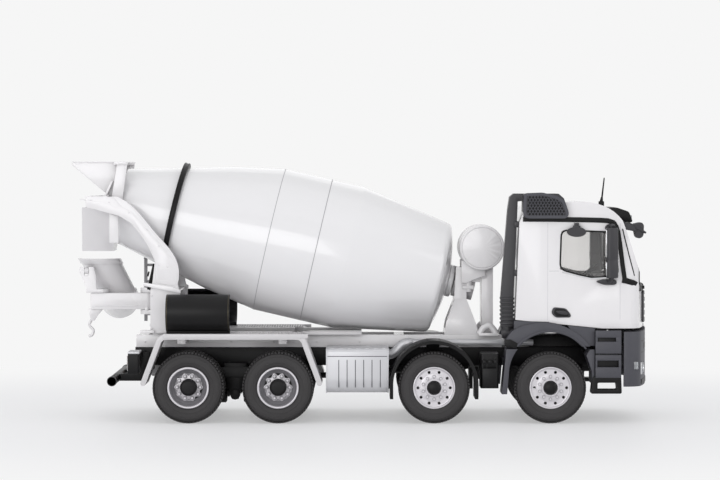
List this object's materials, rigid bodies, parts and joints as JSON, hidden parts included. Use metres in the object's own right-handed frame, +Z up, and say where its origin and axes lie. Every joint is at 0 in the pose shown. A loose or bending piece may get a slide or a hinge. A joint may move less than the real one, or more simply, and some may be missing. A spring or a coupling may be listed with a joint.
{
  "type": "concrete mixer truck scale model",
  "caption": "Scale model of a forward-control truck with a tilted revolving drum, a charging hopper, a swinging discharge chute, a tilting cab, steered front axles and twin rear wheels.",
  "frame": {"origin": "on the ground, in the middle of the model's length and width", "axes": "+X to the truck's front, +Y to its left, +Z up"},
  "size_m": [0.176, 0.0586, 0.079],
  "materials": {
    "white_paint": "gloss white enamel on die-cast zinc",
    "drum_paint": "gloss white enamel on the two moulded drum halves",
    "grey_paint": "satin pale grey paint",
    "black_paint": "satin black paint on die-cast zinc",
    "slate_plastic": "matt slate-grey moulded plastic",
    "black_plastic": "satin black moulded plastic",
    "silver_plastic": "silver-grey painted plastic",
    "rim_silver": "silver painted plastic rims",
    "tyre_rubber": "matt black soft plastic",
    "clear_plastic": "clear moulded window plastic"
  },
  "bodies": {
    "chassis": {"frame_rails": "black_paint", "mixer_subframe": "white_paint", "leaf_springs": "black_paint", "front_axle_beams": "black_paint", "rear_axle_housings": "black_paint", "engine_block": "black_paint", "rear_underrun_guard": "black_plastic", "tail_lamps": "black_plastic", "exhaust_box": "silver_plastic", "exhaust_pipe": "silver_plastic", "fuel_tank": "silver_plastic", "battery_valve_units": "black_plastic", "second_axle_fenders": "black_plastic", "rear_fenders": "grey_paint", "cab_fender_lower": "slate_plastic", "front_bumper": "slate_plastic", "entry_steps": "slate_plastic", "front_drum_stand": "white_paint", "drum_gearbox": "black_paint", "rear_drum_stand": "white_paint", "drum_rollers": "grey_paint", "charging_hopper": "white_paint", "discharge_funnel": "white_paint", "ladder": "white_paint", "spare_chutes": "black_plastic", "water_tank": "white_paint"},
    "drum": {"drum_shell": "drum_paint", "drum_ring": "black_paint"},
    "cab": {"cab_shell": "white_paint", "cab_glazing": "clear_plastic", "cab_interior": "black_plastic", "front_grille": "black_plastic", "roof_trim": "black_plastic", "mirrors": "black_plastic", "air_intake": "slate_plastic", "cab_fender_upper": "slate_plastic", "cab_fittings": "black_plastic"},
    "chute_swing_arm": {"chute_arm": "white_paint", "crank_jack": "white_paint"},
    "chute_fork": {"chute_post": "white_paint"},
    "chute": {"discharge_chute": "white_paint"},
    "tie_rod_1": {"tie_rod_1": "black_paint"},
    "knuckle_1_right": {"knuckle_1_right": "black_paint"},
    "wheel_1_right": {"tyre_1_right": "tyre_rubber", "rim_1_right": "rim_silver"},
    "knuckle_1_left": {"knuckle_1_left": "black_paint"},
    "wheel_1_left": {"tyre_1_left": "tyre_rubber", "rim_1_left": "rim_silver"},
    "tie_rod_2": {"tie_rod_2": "black_paint"},
    "knuckle_2_right": {"knuckle_2_right": "black_paint"},
    "wheel_2_right": {"tyre_2_right": "tyre_rubber", "rim_2_right": "rim_silver"},
    "knuckle_2_left": {"knuckle_2_left": "black_paint"},
    "wheel_2_left": {"tyre_2_left": "tyre_rubber", "rim_2_left": "rim_silver"},
    "axle_3": {"twin_tyres_3": "tyre_rubber", "twin_rims_3": "rim_silver"},
    "axle_4": {"twin_tyres_4": "tyre_rubber", "twin_rims_4": "rim_silver"}
  },
  "joints": [
    {"name": "drum_spin", "type": "hinge", "parent": "chassis", "child": "drum", "pos_m": [0.02948, 0, 0.04167], "axis": [0.9744, 0, -0.225], "continuous": true},
    {"name": "cab_tilt", "type": "hinge", "parent": "chassis", "child": "cab", "pos_m": [0.0866, 0, 0.0279], "axis": [0, 1, 0], "range_deg": [0, 45]},
    {"name": "chute_swing", "type": "hinge", "parent": "chassis", "child": "chute_swing_arm", "pos_m": [-0.066, 0, 0.0358], "axis": [0, 0, 1], "range_deg": [0, 60]},
    {"name": "chute_slew", "type": "hinge", "parent": "chute_swing_arm", "child": "chute_fork", "pos_m": [-0.0806, 0, 0.0384], "axis": [0, 0, 1], "range_deg": [0, 90]},
    {"name": "chute_tilt", "type": "hinge", "parent": "chute_fork", "child": "chute", "pos_m": [-0.0846, -0.0019, 0.0452], "axis": [1, 0, 0], "range_deg": [0, 14]},
    {"name": "steer_1_right", "type": "hinge", "parent": "chassis", "child": "knuckle_1_right", "pos_m": [0.0573, -0.0176, 0.0108], "axis": [0, 0, 1], "range_deg": [-14, 14]},
    {"name": "roll_1_right", "type": "hinge", "parent": "knuckle_1_right", "child": "wheel_1_right", "pos_m": [0.0573, -0.0218, 0.0108], "axis": [0, 1, 0], "continuous": true},
    {"name": "steer_1_left", "type": "hinge", "parent": "chassis", "child": "knuckle_1_left", "pos_m": [0.0573, 0.0176, 0.0108], "axis": [0, 0, 1], "range_deg": [-14, 14]},
    {"name": "roll_1_left", "type": "hinge", "parent": "knuckle_1_left", "child": "wheel_1_left", "pos_m": [0.0573, 0.0218, 0.0108], "axis": [0, 1, 0], "continuous": true},
    {"name": "tie_1", "type": "hinge", "parent": "knuckle_1_right", "child": "tie_rod_1", "pos_m": [0.0523, -0.0176, 0.0076], "axis": [0, 0, 1], "range_deg": [-14, 14]},
    {"name": "steer_2_right", "type": "hinge", "parent": "chassis", "child": "knuckle_2_right", "pos_m": [0.0223, -0.0176, 0.0108], "axis": [0, 0, 1], "range_deg": [-11, 11]},
    {"name": "roll_2_right", "type": "hinge", "parent": "knuckle_2_right", "child": "wheel_2_right", "pos_m": [0.0223, -0.0218, 0.0108], "axis": [0, 1, 0], "continuous": true},
    {"name": "steer_2_left", "type": "hinge", "parent": "chassis", "child": "knuckle_2_left", "pos_m": [0.0223, 0.0176, 0.0108], "axis": [0, 0, 1], "range_deg": [-11, 11]},
    {"name": "roll_2_left", "type": "hinge", "parent": "knuckle_2_left", "child": "wheel_2_left", "pos_m": [0.0223, 0.0218, 0.0108], "axis": [0, 1, 0], "continuous": true},
    {"name": "tie_2", "type": "hinge", "parent": "knuckle_2_right", "child": "tie_rod_2", "pos_m": [0.0173, -0.0176, 0.0076], "axis": [0, 0, 1], "range_deg": [-11, 11]},
    {"name": "roll_3", "type": "hinge", "parent": "chassis", "child": "axle_3", "pos_m": [-0.0247, 0, 0.0108], "axis": [0, 1, 0], "continuous": true},
    {"name": "roll_4", "type": "hinge", "parent": "chassis", "child": "axle_4", "pos_m": [-0.0517, 0, 0.0108], "axis": [0, 1, 0], "continuous": true}
  ],
  "couplings": [
    {"joint": "steer_1_left", "follows": "steer_1_right", "ratio": 1},
    {"joint": "tie_1", "follows": "steer_1_right", "ratio": -1},
    {"joint": "steer_2_left", "follows": "steer_2_right", "ratio": 1},
    {"joint": "tie_2", "follows": "steer_2_right", "ratio": -1}
  ]
}
